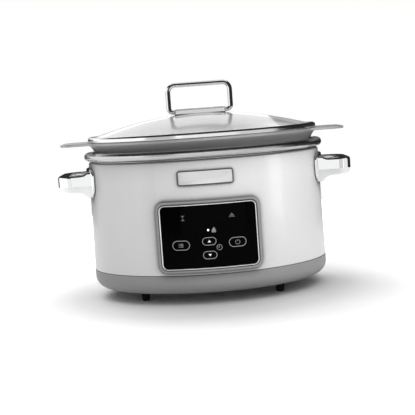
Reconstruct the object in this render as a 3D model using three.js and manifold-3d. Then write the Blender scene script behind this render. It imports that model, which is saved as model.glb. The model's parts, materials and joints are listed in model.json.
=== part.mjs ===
// Oval slow cooker: a painted shell on a plastic base, a heated well, a lift-out pot with end tabs,
// a domed glass lid and a front control panel with four push keys.
// Millimetres, +Z up, front of the cooker towards -Y, the feet stand on Z = 0.

import * as THREE from "three";
import { mergeVertices } from "three/addons/utils/BufferGeometryUtils.js";
import Module from "manifold-3d";

const wasm = await Module();
wasm.setup();

// ---- driving dimensions -------------------------------------------------------------------------
const HALF_WIDTH = 172.4; // rim ring, centre to nose along X
const HALF_DEPTH = 131.2; // rim ring, centre to nose along Y
const OVAL_SIDES = 40;
const GAP = 0.4; // between neighbouring pieces
const FLOOR = 2.8; // heights in this file are measured from this far under what it stands on

const SKIRT_BOTTOM = 16;
const SKIRT_TOP = 43.6;
const SKIRT_RADIUS = 169.5;
const SKIRT_CORNER = 18;
const SKIRT_WALL = 2.5;
const SKIRT_FLOOR = 18.4; // underside of the flange that carries feet and cover

const SHELL_BOTTOM = 44;
const SHELL_TOP = 199;
const SHELL_BOTTOM_RADIUS = 169.3;
const SHELL_TOP_RADIUS = 166.8;
const SHELL_WALL = 1.2;

const RING_NOSE = 6; // radius of the rounded nose of the rim ring
const RING_BOTTOM = 201;
const RING_INNER = 161.2;

const WELL_FLOOR = 54;
const WELL_WALL = 1;
const POT_BOTTOM = 60;
const POT_WALL = 2.3;
const POT_RIM = 227.4;
const POT_TAB_REACH = 203;
const POT_TAB_HALF_WIDTH = 42;
const POT_TAB_THICKNESS = 3.6;

const GLASS_EDGE_RADIUS = 161.5;
const GLASS_EDGE_HEIGHT = 233;
const GLASS_RISE = 26.5;
const GLASS_THICKNESS = 3.8;

const LOOP_ROD = 3.5; // radius of the lid handle's rod
const LOOP_HALF_WIDTH = 44.9;
const LOOP_TOP = 301.2;
const LOOP_FOOT = 262.5;
const LID_BLOCK = { halfLength: 38, halfDepth: 11, top: 267.5 };
const LID_SCREW_X = 22;

const SIDE_HANDLE = { reach: 210.5, halfWidth: 43, bar: 12, height: 26, centre: 170.7, screwY: 34 };
const SIDE_ROOT = { halfWidth: 47, height: 40, thickness: 4.2 };

const PANEL_CENTRE = 96;
const PANEL_FRAME = { width: 141, height: 97, corner: 11 };
const PANEL_OPENING = { width: 132.5, height: 88.5, corner: 8 };
const PANEL_TRIM = { width: 131.7, height: 87.7, corner: 7.6 };
const PANEL_FACE = { width: 128, height: 84, corner: 5.8 };
const KEY_REST = 3.6; // how far a key's face stands off the shell
const BADGE = { width: 75, height: 19.5, corner: 3, centre: 175 };

const BOARD_Y = -116; // front of the control board
const KEYS = [
  { name: "menu", x: -38.5, z: 85.5, width: 25, height: 14.6 },
  { name: "up", x: -0.5, z: 89.2, width: 20.6, height: 12.4 },
  { name: "down", x: -0.5, z: 70.6, width: 20.6, height: 12.4 },
  { name: "power", x: 37.5, z: 85.5, width: 25, height: 14.6 },
];
const LAMP = { x: -1, z: 104, radius: 1.6 };

const FOOT_X = 95;
const FOOT_Y = 70;
const COVER_SCREW_RADIUS = 116;
const GLAND_HEIGHT = 30;

// ---- materials ----------------------------------------------------------------------------------
const paint = (color, roughness, metalness) =>
  new THREE.MeshStandardMaterial({ color, roughness, metalness });
const WHITE_PAINT = paint(0xe6e6e6, 0.35, 0.1);
const GREY_PLASTIC = paint(0x8a8a8c, 0.55, 0);
const BLACK_PLASTIC = paint(0x1b1b1c, 0.5, 0);
const BLACK_GLOSS = paint(0x050505, 0.08, 0);
const CHROME = paint(0xd8d8da, 0.06, 1);
const BRUSHED = paint(0xb4b4b6, 0.28, 1);
const ALUMINIUM = paint(0x8d8d8f, 0.4, 0.7);
const STEEL = paint(0x9c9c9e, 0.35, 1);
const GLASS = new THREE.MeshStandardMaterial({
  color: 0xdfe4e4, roughness: 0.03, metalness: 0, transparent: true, opacity: 0.35,
});
const RUBBER = paint(0x131313, 0.85, 0);
const BOARD_GREEN = paint(0x1d5a34, 0.5, 0);
const LAMP_WHITE = paint(0xf4f4f4, 0.3, 0);
const MICA = paint(0xb59f79, 0.7, 0);
const BRASS = paint(0xb8923f, 0.35, 1);
const COPPER_LEAD = paint(0x8c2f22, 0.6, 0);

// ---- solids and booleans ------------------------------------------------------------------------
const cooker = new THREE.Group();

function signedVolume(position, index) {
  const [a, b, c] = [new THREE.Vector3(), new THREE.Vector3(), new THREE.Vector3()];
  let volume = 0;
  for (let i = 0; i < index.length; i += 3) {
    a.fromBufferAttribute(position, index[i]);
    b.fromBufferAttribute(position, index[i + 1]);
    c.fromBufferAttribute(position, index[i + 2]);
    volume += a.dot(b.cross(c)) / 6;
  }
  return volume;
}

// A closed three.js geometry as a manifold solid that faces out.
function solid(geometry) {
  const bare = geometry.clone();
  bare.deleteAttribute("normal");
  bare.deleteAttribute("uv");
  const merged = mergeVertices(bare, 1e-4);
  const position = merged.getAttribute("position");
  const index = Array.from(merged.index.array);
  const corners = [];
  for (let i = 0; i < index.length; i += 3) {
    const [a, b, c] = index.slice(i, i + 3);
    if (a !== b && b !== c && a !== c) corners.push(a, b, c);
  }
  if (signedVolume(position, corners) < 0) corners.reverse();
  return new wasm.Manifold(new wasm.Mesh({
    numProp: 3,
    vertProperties: new Float32Array(position.array),
    triVerts: new Uint32Array(corners),
  }));
}

function join(first, ...others) {
  return others.reduce((sum, other) => sum.add(other), first);
}

function cut(first, ...others) {
  return others.reduce((rest, other) => rest.subtract(other), first);
}

function addPart(name, body, material) {
  const { numProp, vertProperties, triVerts } = body.translate([0, 0, -FLOOR]).getMesh();
  const points = new Float32Array((vertProperties.length / numProp) * 3);
  for (let i = 0; i < points.length / 3; i += 1) {
    points.set(vertProperties.slice(i * numProp, i * numProp + 3), i * 3);
  }
  const geometry = new THREE.BufferGeometry();
  geometry.setAttribute("position", new THREE.BufferAttribute(points, 3));
  geometry.setIndex(Array.from(triVerts));
  geometry.computeVertexNormals();
  const mesh = new THREE.Mesh(geometry, material);
  mesh.name = name;
  cooker.add(mesh);
}

// ---- shared shapes ------------------------------------------------------------------------------
// Half depth of the oval whose half width is radius. Neighbouring ovals keep an even gap at the rim,
// and the oval closes to a point at the centre.
function halfDepth(radius) {
  const towardsCentre = 1 - radius / HALF_WIDTH;
  return radius - (HALF_WIDTH - HALF_DEPTH) * (1 - towardsCentre * towardsCentre);
}

// A lathe of [radius, height] points about Z, pressed to the cooker's oval.
function oval(profile, sides = OVAL_SIDES) {
  const points = profile.map(([radius, height]) => new THREE.Vector2(radius, height));
  const geometry = new THREE.LatheGeometry(points, sides).rotateX(Math.PI / 2);
  const position = geometry.getAttribute("position");
  for (let i = 0; i < position.count; i += 1) {
    const radius = Math.hypot(position.getX(i), position.getY(i));
    if (radius > 0) position.setY(i, (position.getY(i) * halfDepth(radius)) / radius);
  }
  return solid(geometry);
}

const closeLoop = (profile) => [...profile, profile[0]];

// Points on an arc, angles in degrees, both ends included.
function arc(centreX, centreZ, radius, from, to, steps) {
  return Array.from({ length: steps + 1 }, (unused, i) => {
    const angle = THREE.MathUtils.degToRad(from + ((to - from) * i) / steps);
    return [centreX + radius * Math.cos(angle), centreZ + radius * Math.sin(angle)];
  });
}

function roundedRectangle(width, height, corner, centreX = 0, centreY = 0) {
  const [x, y] = [centreX - width / 2, centreY - height / 2];
  const shape = new THREE.Shape();
  shape.moveTo(x + corner, y);
  shape.lineTo(x + width - corner, y);
  shape.absarc(x + width - corner, y + corner, corner, -Math.PI / 2, 0);
  shape.lineTo(x + width, y + height - corner);
  shape.absarc(x + width - corner, y + height - corner, corner, 0, Math.PI / 2);
  shape.lineTo(x + corner, y + height);
  shape.absarc(x + corner, y + height - corner, corner, Math.PI / 2, Math.PI);
  shape.lineTo(x, y + corner);
  shape.absarc(x + corner, y + corner, corner, Math.PI, Math.PI * 1.5);
  return shape;
}

function box(x0, x1, y0, y1, z0, z1) {
  const geometry = new THREE.BoxGeometry(x1 - x0, y1 - y0, z1 - z0);
  return solid(geometry.translate((x0 + x1) / 2, (y0 + y1) / 2, (z0 + z1) / 2));
}

// A turned piece of [radius, distance] points along an axis: "x", "y" or "z".
function turned(profile, axis, x, y, z, sides = 12) {
  const points = profile.map(([radius, along]) => new THREE.Vector2(radius, along));
  const geometry = new THREE.LatheGeometry(points, sides);
  if (axis === "z") geometry.rotateX(Math.PI / 2);
  if (axis === "x") geometry.rotateZ(-Math.PI / 2);
  return solid(geometry.translate(x, y, z));
}

const rod = (radius, from, to) => [[0, from], [radius, from], [radius, to], [0, to]];
const tube = (outer, inner, from, to) =>
  closeLoop([[inner, from], [outer, from], [outer, to], [inner, to]]);
const upright = (radius, x, y, from, to, sides) => turned(rod(radius, from, to), "z", x, y, 0, sides);

// A round wire through a few points.
function wire(points, radius, steps) {
  const circle = new THREE.Shape().absarc(0, 0, radius, 0, Math.PI * 2);
  const path = new THREE.CatmullRomCurve3(points.map((point) => new THREE.Vector3(...point)));
  const options = { steps, curveSegments: 4, extrudePath: path, bevelEnabled: false };
  return solid(new THREE.ExtrudeGeometry(circle, options));
}

const shellRadius = (z) =>
  THREE.MathUtils.mapLinear(z, SHELL_BOTTOM, SHELL_TOP, SHELL_BOTTOM_RADIUS, SHELL_TOP_RADIUS);

// Y of the shell's front at a place on the panel.
const frontFace = (x, z) => -halfDepth(shellRadius(z)) * Math.sqrt(1 - (x / shellRadius(z)) ** 2);

// The space between two offsets of the shell's outer face.
function shellLayer(inner, outer, low, high) {
  return oval(closeLoop([
    [shellRadius(low) + inner, low],
    [shellRadius(low) + outer, low],
    [shellRadius(high) + outer, high],
    [shellRadius(high) + inner, high],
  ]));
}

// An outline in X and Z pushed through the front of the cooker, kept between two shell offsets.
function onFront(shape, inner, outer) {
  const punch = new THREE.ExtrudeGeometry(shape, { depth: 60, bevelEnabled: false, curveSegments: 2 });
  punch.rotateX(Math.PI / 2).translate(0, -90, 0);
  return solid(punch).intersect(shellLayer(inner, outer, SHELL_BOTTOM + 1, SHELL_TOP - 4));
}

const panelOutline = ({ width, height, corner }, margin = 0) => roundedRectangle(
  width + 2 * margin, height + 2 * margin, corner + margin, 0, PANEL_CENTRE);

const keyOutline = (key, margin) => roundedRectangle(
  key.width + 2 * margin, key.height + 2 * margin, key.height / 2 + margin - 0.01, key.x, key.z);

const glassHeight = (radius) =>
  GLASS_EDGE_HEIGHT + GLASS_RISE * (1 - (radius / GLASS_EDGE_RADIUS) ** 2) ** 1.1;

const glassProfile = (lift) =>
  [1, 0.975, 0.9, 0.75, 0.55, 0.3, 0].map((share) => {
    const radius = GLASS_EDGE_RADIUS * share;
    return [radius, glassHeight(radius) + lift];
  });

// The solid under the glass's outer face, raised by lift.
const dome = (lift) => oval([[0, SHELL_TOP], [GLASS_EDGE_RADIUS, SHELL_TOP], ...glassProfile(lift)]);

// ---- base, cover and feet -----------------------------------------------------------------------
const footPlaces = [-1, 1].flatMap((sideX) => [-1, 1].map((sideY) => ({
  name: `${sideY < 0 ? "front" : "rear"}_${sideX < 0 ? "left" : "right"}`,
  x: sideX * FOOT_X,
  y: sideY * FOOT_Y,
})));

const coverScrewPlaces = [
  { name: "left", x: -COVER_SCREW_RADIUS, y: 0 },
  { name: "right", x: COVER_SCREW_RADIUS, y: 0 },
];

function makeSkirt() {
  const cornerCentre = SKIRT_RADIUS - SKIRT_CORNER;
  const floorTop = SKIRT_FLOOR + SKIRT_WALL;
  const innerCorner = SKIRT_CORNER - SKIRT_WALL;
  const moulding = oval(closeLoop([
    [108, SKIRT_FLOOR],
    [cornerCentre - 4, SKIRT_FLOOR],
    ...arc(cornerCentre, SKIRT_BOTTOM + SKIRT_CORNER, SKIRT_CORNER, -90, 0, 4),
    [SKIRT_RADIUS, SKIRT_TOP],
    [SKIRT_RADIUS - 1.9, SKIRT_TOP],
    [SKIRT_RADIUS - 1.9, SKIRT_TOP + 6],
    [SKIRT_RADIUS - 3.9, SKIRT_TOP + 6],
    [SKIRT_RADIUS - 3.9, SKIRT_TOP - 3],
    ...arc(cornerCentre, floorTop + innerCorner, innerCorner, 0, -90, 2),
    [108, floorTop],
  ]));
  const bosses = [
    ...footPlaces.map(({ x, y }) => upright(5.5, x, y, floorTop - 1, floorTop + 12, 8)),
    ...coverScrewPlaces.map(({ x, y }) => upright(4.5, x, y, floorTop - 1, floorTop + 7, 8)),
  ];
  const holes = [
    ...footPlaces.map(({ x, y }) => upright(2.4, x, y, 10, 40, 8)),
    ...coverScrewPlaces.map(({ x, y }) => upright(2.1, x, y, 10, 40, 8)),
    turned(rod(6.6, 100, 140), "y", 0, 0, GLAND_HEIGHT, 16),
  ];
  return cut(join(moulding, ...bosses), ...holes);
}

const COVER_TOP = SKIRT_FLOOR - GAP;
const COVER_BOTTOM = COVER_TOP - 1.6;
const POWER_BOARD = { x0: -45, x1: 45, y0: 2, y1: 58, z0: 27, z1: 28.6 };

function makeCover() {
  const standoffs = [POWER_BOARD.x0 + 5, POWER_BOARD.x1 - 5].flatMap((x) =>
    [POWER_BOARD.y0 + 5, POWER_BOARD.y1 - 5].map((y) =>
      upright(3, x, y, COVER_TOP - 0.5, POWER_BOARD.z0 - GAP, 8)));
  const plate = oval([[0, COVER_BOTTOM], [124, COVER_BOTTOM], [124, COVER_TOP], [0, COVER_TOP]]);
  const slots = [-1, 1].flatMap((side) => [0, 1, 2, 3].map((row) => {
    const shape = roundedRectangle(4, 34, 1.9, side * (58 + row * 9), -20);
    const slot = new THREE.ExtrudeGeometry(shape, { depth: 8, bevelEnabled: false, curveSegments: 1 });
    return solid(slot.translate(0, 0, COVER_BOTTOM - 3));
  }));
  const holes = coverScrewPlaces.map(({ x, y }) => upright(2.1, x, y, 10, 25, 8));
  return cut(join(plate, ...standoffs), ...slots, ...holes);
}

addPart("base_skirt", makeSkirt(), GREY_PLASTIC);
addPart("bottom_cover", makeCover(), STEEL);

for (const { name, x, y } of footPlaces) {
  const foot = [[2.3, 8], [3.9, 8], [3.9, FLOOR], [5, FLOOR], [5.5, FLOOR + 0.8],
    [6.6, SKIRT_FLOOR - GAP], [2.3, SKIRT_FLOOR - GAP]];
  const screw = [[0, 5.2], [3.4, 5.2], [3.4, 7.6], [1.9, 7.6], [1.9, 30], [0, 30]];
  addPart(`foot_${name}`, turned(closeLoop(foot), "z", x, y, 0), RUBBER);
  addPart(`foot_screw_${name}`, turned(screw, "z", x, y, 0, 12), STEEL);
}

for (const { name, x, y } of coverScrewPlaces) {
  const headTop = COVER_BOTTOM - 0.3;
  const screw = [[0, headTop - 1.8], [3.6, headTop - 1.8], [3.6, headTop], [1.7, headTop],
    [1.7, 27], [0, 27]];
  addPart(`cover_screw_${name}`, turned(screw, "z", x, y, 0, 12), STEEL);
}

// ---- shell, rim ring, well and heater -----------------------------------------------------------
const sideScrewPlaces = [-1, 1].flatMap((side) => [-1, 1].map((end) => ({
  name: `${side < 0 ? "left" : "right"}_${end < 0 ? "front" : "rear"}`,
  side,
  y: end * SIDE_HANDLE.screwY,
})));

function makeShell() {
  const outerTop = shellRadius(SHELL_TOP - 3.5);
  const sheet = oval(closeLoop([
    [SHELL_BOTTOM_RADIUS, SHELL_BOTTOM],
    [outerTop, SHELL_TOP - 3.5],
    [outerTop - 1, SHELL_TOP],
    [RING_INNER + 0.6, SHELL_TOP],
    [RING_INNER + 0.6, SHELL_TOP - SHELL_WALL],
    [outerTop - 1.8, SHELL_TOP - SHELL_WALL],
    [outerTop - SHELL_WALL, SHELL_TOP - 3.5],
    [SHELL_BOTTOM_RADIUS - SHELL_WALL, SHELL_BOTTOM],
  ]));
  const window = onFront(panelOutline(PANEL_OPENING, 1.6), -5, 5);
  const screwHoles = [-1, 1].map((end) =>
    turned(rod(2.3, -190, 190), "x", 0, end * SIDE_HANDLE.screwY, SIDE_HANDLE.centre, 10));
  return cut(sheet, window, ...screwHoles);
}

function makeRing() {
  const noseCentre = HALF_WIDTH - RING_NOSE;
  const middle = RING_BOTTOM + RING_NOSE;
  return oval(closeLoop([
    [RING_INNER, RING_BOTTOM],
    ...arc(noseCentre, middle, RING_NOSE, -90, 90, 6),
    [RING_INNER + 1, middle + RING_NOSE],
    [RING_INNER, middle + RING_NOSE - 1],
  ]));
}

const WELL_CORNER = 17;
const WELL_LOW_RADIUS = 143;
const WELL_HIGH_RADIUS = 159.8;
const WELL_FLANGE = SHELL_TOP + GAP;
const wellRadius = (z) =>
  THREE.MathUtils.mapLinear(z, WELL_FLOOR + WELL_CORNER, WELL_FLANGE, WELL_LOW_RADIUS, WELL_HIGH_RADIUS);

function makeWell() {
  const cornerCentre = WELL_LOW_RADIUS - WELL_CORNER;
  const cornerHeight = WELL_FLOOR + WELL_CORNER;
  return oval([
    [0, WELL_FLOOR],
    ...arc(cornerCentre, cornerHeight, WELL_CORNER, -90, 0, 3),
    [WELL_HIGH_RADIUS, WELL_FLANGE],
    [WELL_HIGH_RADIUS + 4.6, WELL_FLANGE],
    [WELL_HIGH_RADIUS + 4.6, WELL_FLANGE + WELL_WALL],
    [WELL_HIGH_RADIUS - WELL_WALL, WELL_FLANGE + WELL_WALL],
    ...arc(cornerCentre, cornerHeight, WELL_CORNER - WELL_WALL, 0, -90, 3),
    [0, WELL_FLOOR + WELL_WALL],
  ]);
}

// A band round the outside of the well, held off it by clearance.
const aroundWell = (low, high, clearance, thickness) => oval(closeLoop([
  [wellRadius(low) + clearance, low],
  [wellRadius(low) + clearance + thickness, low],
  [wellRadius(high) + clearance + thickness, high],
  [wellRadius(high) + clearance, high],
]));

addPart("outer_shell", makeShell(), WHITE_PAINT);
addPart("top_rim_ring", makeRing(), BRUSHED);
addPart("heating_well", makeWell(), ALUMINIUM);
addPart("heater_band", aroundWell(74, 96, GAP, 2.2), MICA);
addPart("heat_shield", aroundWell(80, 102, 4.2, 0.8), STEEL);

// ---- cooking pot --------------------------------------------------------------------------------
function makePot() {
  const corner = 16;
  const lowRadius = 139.5;
  const cornerCentre = lowRadius - corner;
  const bowl = oval([
    [0, POT_BOTTOM],
    ...arc(cornerCentre, POT_BOTTOM + corner, corner, -90, 0, 3),
    [157, 215],
    [158.6, 219.6],
    [161.4, 222.6],
    [164.4, POT_RIM - POT_TAB_THICKNESS],
    [164.4, POT_RIM],
    [156.4, POT_RIM],
    [155.2, POT_RIM - 2],
    [157 - POT_WALL, 215],
    ...arc(cornerCentre, POT_BOTTOM + corner, corner - POT_WALL, 0, -90, 3),
    [0, POT_BOTTOM + POT_WALL],
  ]);
  const shape = roundedRectangle(2 * POT_TAB_REACH, 2 * POT_TAB_HALF_WIDTH, 18);
  const options = {
    depth: POT_TAB_THICKNESS - 2, bevelEnabled: true, bevelThickness: 1, bevelSize: 1, bevelOffset: -1,
    bevelSegments: 1, curveSegments: 4,
  };
  const slab = new THREE.ExtrudeGeometry(shape, options).translate(0, 0, POT_RIM - POT_TAB_THICKNESS + 1);
  const middle = oval([[0, 200], [162, 200], [162, 240], [0, 240]]);
  return join(bowl, cut(solid(slab), middle));
}

addPart("cooking_pot", makePot(), ALUMINIUM);

// ---- lid ----------------------------------------------------------------------------------------
const lidScrewHoles = (radius, from, to) =>
  [-LID_SCREW_X, LID_SCREW_X].map((x) => upright(radius, x, 0, from, to, 12));

function makeGlass() {
  const under = glassProfile(-GLASS_THICKNESS).reverse();
  return cut(oval([...under, ...glassProfile(0)]), ...lidScrewHoles(2.7, 240, 280));
}

function makeLidRim() {
  return oval(closeLoop([
    [152.5, 223.5],
    [154.2, 223.5],
    [154.2, POT_RIM + GAP],
    [164.4, POT_RIM + GAP],
    [165.2, POT_RIM + 1.2],
    [165.2, 233.6],
    [164.4, 234.6],
    [158.5, 235.1],
    [158.5, 234.3],
    [161.9, 233.6],
    [161.9, 228.8],
    [152.5, 228.8],
  ]));
}

function blockOutline(margin) {
  const { halfLength, halfDepth: depth } = LID_BLOCK;
  return roundedRectangle(2 * (halfLength + margin), 2 * (depth + margin), 4 + margin);
}

function makeLidBlock() {
  const bevel = 2.5;
  const bottom = 250;
  const options = {
    depth: LID_BLOCK.top - bottom - bevel, bevelEnabled: true, bevelThickness: bevel, bevelSize: bevel,
    bevelOffset: -bevel, bevelSegments: 2, curveSegments: 3,
  };
  const block = solid(new THREE.ExtrudeGeometry(blockOutline(0), options).translate(0, 0, bottom));
  return cut(block, dome(1.7), ...lidScrewHoles(2.3, 250, 266.5));
}

function makeLidGasket() {
  const options = { depth: 20, bevelEnabled: false, curveSegments: 3 };
  const pad = solid(new THREE.ExtrudeGeometry(blockOutline(-1), options).translate(0, 0, 250));
  return cut(pad.intersect(dome(1.3)), dome(0.35), ...lidScrewHoles(2.7, 240, 280));
}

// The rod leaves one end of the block, turns up, crosses over the lid and comes back down.
function makeLidLoop() {
  const at = (x, z) => new THREE.Vector3(x, 0, z);
  const end = LID_BLOCK.halfLength + GAP;
  const side = LOOP_HALF_WIDTH;
  const corner = 9.5;
  const path = new THREE.CurvePath();
  path.add(new THREE.QuadraticBezierCurve3(at(-end, LOOP_FOOT), at(-side, LOOP_FOOT), at(-side, 272)));
  path.add(new THREE.LineCurve3(at(-side, 272), at(-side, LOOP_TOP - corner)));
  path.add(new THREE.QuadraticBezierCurve3(
    at(-side, LOOP_TOP - corner), at(-side, LOOP_TOP), at(corner - side, LOOP_TOP)));
  path.add(new THREE.LineCurve3(at(corner - side, LOOP_TOP), at(side - corner, LOOP_TOP)));
  path.add(new THREE.QuadraticBezierCurve3(
    at(side - corner, LOOP_TOP), at(side, LOOP_TOP), at(side, LOOP_TOP - corner)));
  path.add(new THREE.LineCurve3(at(side, LOOP_TOP - corner), at(side, 272)));
  path.add(new THREE.QuadraticBezierCurve3(at(side, 272), at(side, LOOP_FOOT), at(end, LOOP_FOOT)));
  const section = new THREE.Shape().absarc(0, 0, LOOP_ROD, 0, Math.PI * 2);
  const options = { steps: 44, curveSegments: 4, extrudePath: path, bevelEnabled: false };
  return solid(new THREE.ExtrudeGeometry(section, options));
}

addPart("lid_glass", makeGlass(), GLASS);
addPart("lid_rim", makeLidRim(), BRUSHED);
addPart("lid_handle_block", makeLidBlock(), CHROME);
addPart("lid_handle_gasket", makeLidGasket(), RUBBER);
addPart("lid_handle_loop", makeLidLoop(), CHROME);
for (const [name, x] of [["left", -LID_SCREW_X], ["right", LID_SCREW_X]]) {
  const screw = [[0, 249.8], [4, 249.8], [4, 252.2], [2, 252.2], [2, 265.5], [0, 265.5]];
  addPart(`lid_screw_${name}`, turned(screw, "z", x, 0, 0, 12), STEEL);
  addPart(`lid_washer_${name}`, turned(tube(6, 2.4, 252.6, 254), "z", x, 0, 0), STEEL);
}

// ---- side handles -------------------------------------------------------------------------------
const HANDLE_CLEARANCE = 0.35;

function makeSideHandle() {
  const { reach, halfWidth, bar, height, centre, screwY } = SIDE_HANDLE;
  const start = 150;
  const shape = new THREE.Shape();
  const outerCorner = 21;
  shape.moveTo(start, -halfWidth);
  shape.lineTo(reach - outerCorner, -halfWidth);
  shape.absarc(reach - outerCorner, -halfWidth + outerCorner, outerCorner, -Math.PI / 2, 0);
  shape.absarc(reach - outerCorner, halfWidth - outerCorner, outerCorner, 0, Math.PI / 2);
  shape.lineTo(start, halfWidth);
  const gapLength = reach - bar - (SHELL_TOP_RADIUS + SIDE_ROOT.thickness);
  const gapMiddle = reach - bar - gapLength / 2;
  shape.holes.push(roundedRectangle(gapLength, 2 * (halfWidth - bar), 10, gapMiddle, 0));
  const bevel = 4;
  const loop = new THREE.ExtrudeGeometry(shape, {
    depth: height - 2 * bevel, bevelEnabled: true, bevelThickness: bevel, bevelSize: bevel,
    bevelOffset: -bevel, bevelSegments: 1, curveSegments: 4,
  });
  loop.translate(0, 0, bevel - height / 2);
  const position = loop.getAttribute("position");
  for (let i = 0; i < position.count; i += 1) {
    const outward = THREE.MathUtils.clamp((position.getX(i) - 170) / (reach - 170), 0, 1);
    position.setZ(i, centre + position.getZ(i) * (1 - 0.15 * outward));
  }
  const plateOutline = new THREE.ExtrudeGeometry(
    roundedRectangle(SIDE_ROOT.height, 2 * SIDE_ROOT.halfWidth, 12),
    { depth: 80, bevelEnabled: false, curveSegments: 3 });
  plateOutline.rotateY(Math.PI / 2).translate(120, 0, centre);
  const low = centre - SIDE_ROOT.height / 2 - 3;
  const high = centre + SIDE_ROOT.height / 2 + 3;
  const plate = solid(plateOutline).intersect(
    shellLayer(HANDLE_CLEARANCE, SIDE_ROOT.thickness, low, high));
  const inside = oval([[0, low], [shellRadius(low) + HANDLE_CLEARANCE, low],
    [shellRadius(high) + HANDLE_CLEARANCE, high], [0, high]]);
  const screwHoles = [-screwY, screwY].map((y) => turned(rod(2, 150, 176), "x", 0, y, centre, 10));
  return cut(join(cut(solid(loop), inside), plate), ...screwHoles);
}

// The same body turned half round the cooker for the other side.
const rightHandle = makeSideHandle();
addPart("side_handle_right", rightHandle, CHROME);
addPart("side_handle_left", rightHandle.rotate([0, 0, 180]), CHROME);

for (const { name, side, y } of sideScrewPlaces) {
  const screw = [[0, 154.4], [3.4, 154.4], [3.4, 157.4], [1.6, 157.4], [1.6, 174], [0, 174]]
    .map(([radius, along]) => [radius, along * side]);
  addPart(`side_handle_screw_${name}`, turned(screw, "x", 0, y, SIDE_HANDLE.centre, 12), STEEL);
}

// ---- control panel ------------------------------------------------------------------------------
function makePanelFrame() {
  const outline = panelOutline(PANEL_FRAME);
  outline.holes.push(panelOutline(PANEL_OPENING));
  const collar = panelOutline(PANEL_OPENING, 1.2);
  collar.holes.push(panelOutline(PANEL_OPENING));
  return join(onFront(outline, 0.35, 4), onFront(collar, -6, 1));
}

function makePanelTrim() {
  const outline = panelOutline(PANEL_TRIM);
  outline.holes.push(panelOutline(PANEL_FACE, 0.4));
  return onFront(outline, 0.8, 4.3);
}

function makePanelFace() {
  const outline = panelOutline(PANEL_FACE);
  for (const key of KEYS) outline.holes.push(keyOutline(key, 0.35));
  const lampHole = LAMP.radius * 2 + 1;
  outline.holes.push(roundedRectangle(lampHole, lampHole, lampHole / 2 - 0.01, LAMP.x, LAMP.z));
  return onFront(outline, 1, 3.4);
}

// A key: the face, a flange that keeps it behind the panel, and a stem that reaches its switch.
function makeKey(key) {
  const face = onFront(keyOutline(key, 0), -2, KEY_REST);
  const flange = onFront(keyOutline(key, 1.1), -2, 0.2);
  const stem = box(key.x - 3, key.x + 3, frontFace(key.x, key.z), -119.8, key.z - 3, key.z + 3);
  return join(face, flange, stem);
}

addPart("control_frame", makePanelFrame(), GREY_PLASTIC);
addPart("control_trim", makePanelTrim(), CHROME);
addPart("control_face", makePanelFace(), BLACK_GLOSS);
for (const key of KEYS) {
  addPart(`key_${key.name}`, makeKey(key), BLACK_GLOSS);
  addPart(`key_switch_${key.name}`,
    box(key.x - 3, key.x + 3, BOARD_Y - 2.8, BOARD_Y - 0.3, key.z - 3, key.z + 3), BLACK_PLASTIC);
}
addPart("status_lamp",
  turned(rod(LAMP.radius, 0, 13.2), "y", LAMP.x, BOARD_Y - 0.3 - 13.2, LAMP.z, 12), LAMP_WHITE);
addPart("display_module", box(-23, 23, BOARD_Y - 7.8, BOARD_Y - 0.3, 112, 127), BLACK_PLASTIC);
addPart("control_board", box(-56, 56, BOARD_Y, BOARD_Y + 1.6, 59, 133), BOARD_GREEN);

function makeControlHousing() {
  const back = BOARD_Y + 3.5;
  const tray = box(-59, 59, back - 6, back, 55.5, 136.5);
  const inside = box(-57.5, 57.5, back - 8, back - 1.5, 57, 135);
  const cableSlot = box(-9, 9, back - 8, back - 1.2, 50, 60);
  return cut(tray, inside, cableSlot);
}
addPart("control_housing", makeControlHousing(), BLACK_PLASTIC);

const badge = roundedRectangle(BADGE.width, BADGE.height, BADGE.corner, 0, BADGE.centre);
addPart("badge_plate", onFront(badge, 0.35, 1.8), BRUSHED);

// ---- power electronics, sensors and leads under the well ----------------------------------------
const boardTop = POWER_BOARD.z1 + 0.3;
addPart("power_board",
  box(POWER_BOARD.x0, POWER_BOARD.x1, POWER_BOARD.y0, POWER_BOARD.y1, POWER_BOARD.z0, POWER_BOARD.z1),
  BOARD_GREEN);
addPart("transformer", box(-38, -12, 10, 32, boardTop, boardTop + 17), BLACK_PLASTIC);
addPart("relay", box(4, 22, 12, 28, boardTop, boardTop + 15), BLACK_PLASTIC);
addPart("terminal_block", box(-14, 14, 44, 54, boardTop, boardTop + 10), LAMP_WHITE);
addPart("temperature_probe", upright(7, 0, -20, 47, WELL_FLOOR - GAP, 16), ALUMINIUM);
addPart("thermal_fuse", turned(rod(2.2, -8, 8), "x", 30, -20, WELL_FLOOR - GAP - 2.4, 12), BRASS);

const glandInner = halfDepth(SKIRT_RADIUS) - 8;
const glandFace = halfDepth(SKIRT_RADIUS) + 0.4;
const panelFront = halfDepth(shellRadius(PANEL_CENTRE - PANEL_TRIM.height / 2)) + 4.3;
addPart("cord_gland", turned(closeLoop([
  [3.4, glandInner], [6.2, glandInner], [6.2, glandFace], [9.5, glandFace], [9.5, glandFace + 1.6],
  [6.5, panelFront], [3.4, panelFront],
]), "y", 0, 0, GLAND_HEIGHT), BLACK_PLASTIC);

addPart("mains_lead",
  wire([[0, 128, 30], [0, 112, 30], [-2, 90, 33], [0, 72, 34], [0, 60, 34], [0, 54.6, 34]], 2.4, 10),
  BLACK_PLASTIC);
addPart("panel_lead",
  wire([[0, -117, 58], [0, -117, 52], [0, -110, 43], [0, -60, 34], [0, -20, 32], [0, 0, 28]], 1.8, 12),
  BLACK_PLASTIC);
addPart("heater_lead",
  wire([[46.9, 40, 28], [70, 48, 30], [100, 53, 38], [119, 52, 46], [137, 48, 64], [131.6, 44.4, 72.4]], 1.5, 14),
  COPPER_LEAD);
addPart("probe_lead", wire([[0, -20, 46.4], [0, -20, 41], [4, -10, 36], [8, 6, 30.4]], 1.2, 8), COPPER_LEAD);

export default cooker;
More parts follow.
